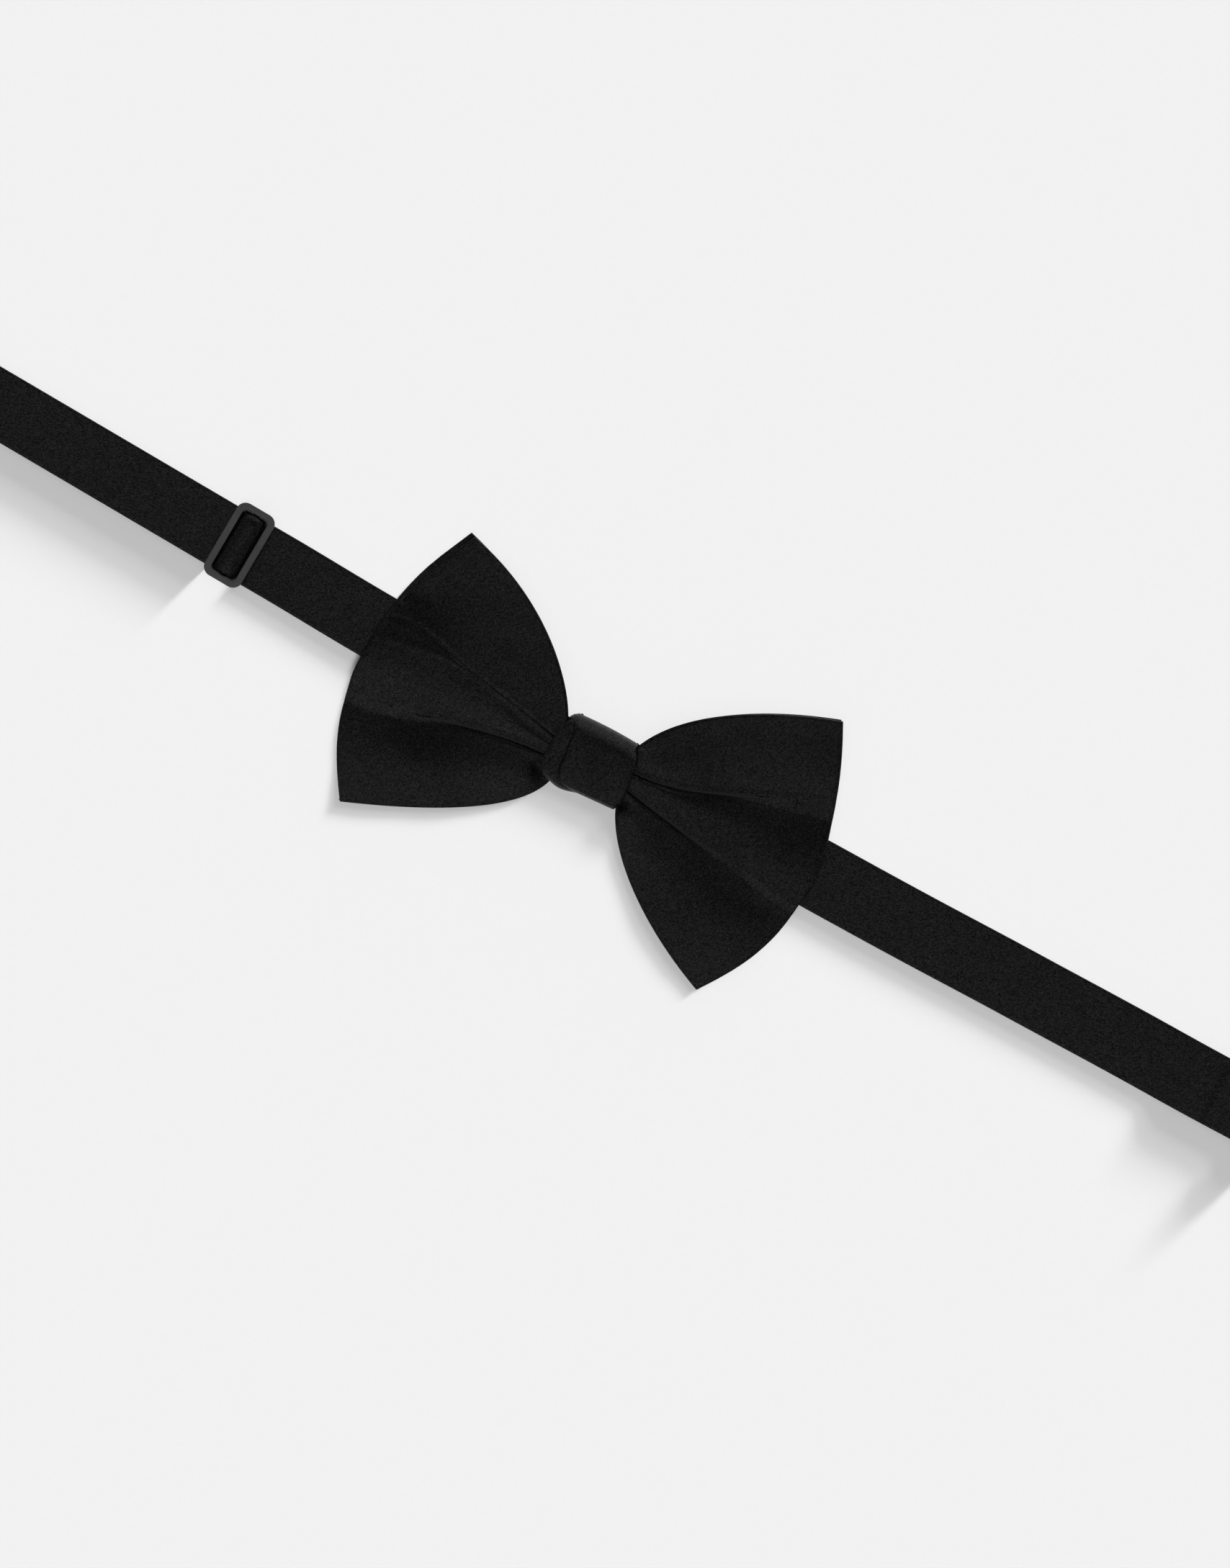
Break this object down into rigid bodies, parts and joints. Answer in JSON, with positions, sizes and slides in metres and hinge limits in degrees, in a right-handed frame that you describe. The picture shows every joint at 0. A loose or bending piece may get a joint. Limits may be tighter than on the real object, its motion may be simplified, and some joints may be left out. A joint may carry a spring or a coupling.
{
  "type": "bow tie",
  "caption": "Pre-tied butterfly bow tie with two pleated blades held by a wrapped knot, on a neck strap with a slide adjuster, a hook and an eye.",
  "frame": {"origin": "middle of the knot's flat back, in the plane that the tie lies on", "axes": "+X along the neck strap from the hook end to the eye end, +Y across the bow from its lower to its upper edge, +Z out of the bow's face"},
  "size_m": [0.3961, 0.078, 0.0102],
  "materials": {
    "wing_satin": "black satin, pressed and pleated",
    "knot_satin": "black satin, wrapped tight",
    "strap_satin": "black satin band with a fine twill line",
    "interlining": "charcoal non-woven",
    "thread": "black sewing thread",
    "gunmetal": "dark grey, fine satin sheen"
  },
  "bodies": {
    "bow": {"back_blade_backing": "wing_satin", "back_blade_interlining": "interlining", "back_blade_face": "wing_satin", "front_blade_backing": "wing_satin", "front_blade_interlining": "interlining", "front_blade_face": "wing_satin", "waist_binding_thread": "thread", "knot_inner_wrap": "knot_satin", "knot_interlining": "interlining", "knot_outer_wrap": "knot_satin", "knot_closing_stitches": "thread", "right_strap": "strap_satin", "eye_fold_tack": "thread", "left_strap": "strap_satin"},
    "slider": {"slider_frame": "gunmetal", "slider_strap_arch": "strap_satin", "slider_return_loop": "strap_satin", "slider_loop_tack": "thread"},
    "strap_end": {"hook_side_strap": "strap_satin", "return_strap": "strap_satin", "hook_fold": "strap_satin"},
    "hook": {"hook": "gunmetal"},
    "eye": {"eye": "gunmetal"}
  },
  "joints": [
    {"name": "slider_slide", "type": "slide", "parent": "bow", "child": "slider", "axis": [0.9998, -0.0175, 0], "range_m": [-0.095, 0.03], "deforming": ["left_strap"]},
    {"name": "strap_end_slide", "type": "slide", "parent": "slider", "child": "strap_end", "axis": [0.9998, -0.0175, 0], "range_m": [-0.015, 0.0475], "deforming": ["hook_side_strap", "return_strap"]},
    {"name": "hook_hinge", "type": "hinge", "parent": "strap_end", "child": "hook", "pos_m": [-0.18297, 0.00319, 0.0018], "axis": [0.0175, 0.9998, 0], "range_deg": [0, 100]},
    {"name": "eye_hinge", "type": "hinge", "parent": "bow", "child": "eye", "pos_m": [0.18997, 0.00332, 0.0018], "axis": [0.0175, -0.9998, 0], "range_deg": [0, 100]}
  ],
  "couplings": [
    {"joint": "strap_end_slide", "follows": "slider_slide", "ratio": -0.5}
  ]
}
